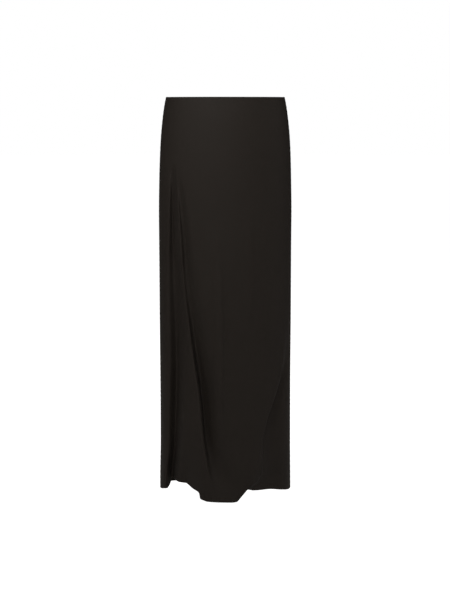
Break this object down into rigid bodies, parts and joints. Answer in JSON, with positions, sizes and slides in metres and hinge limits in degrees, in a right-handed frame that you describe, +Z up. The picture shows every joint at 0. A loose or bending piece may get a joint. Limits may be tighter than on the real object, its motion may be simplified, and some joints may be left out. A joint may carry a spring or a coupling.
{
  "type": "maxi skirt",
  "caption": "Long straight black crepe skirt, smooth over the hips, with slanting draped folds and an uneven, dipping front hem.",
  "frame": {"origin": "middle of the open waist, level with the waist edge, where the wearer's waist holds the skirt", "axes": "+Z up along the skirt, +X to the viewer's right when the front is seen, -Y out of the front, +Y out of the back"},
  "size_m": [0.3568, 0.2545, 1.067],
  "materials": {
    "crepe": "soft matte black-brown crepe with a faint satin sheen"
  },
  "bodies": {
    "root": {"front_panel": "crepe", "back_panel": "crepe"}
  },
  "joints": []
}
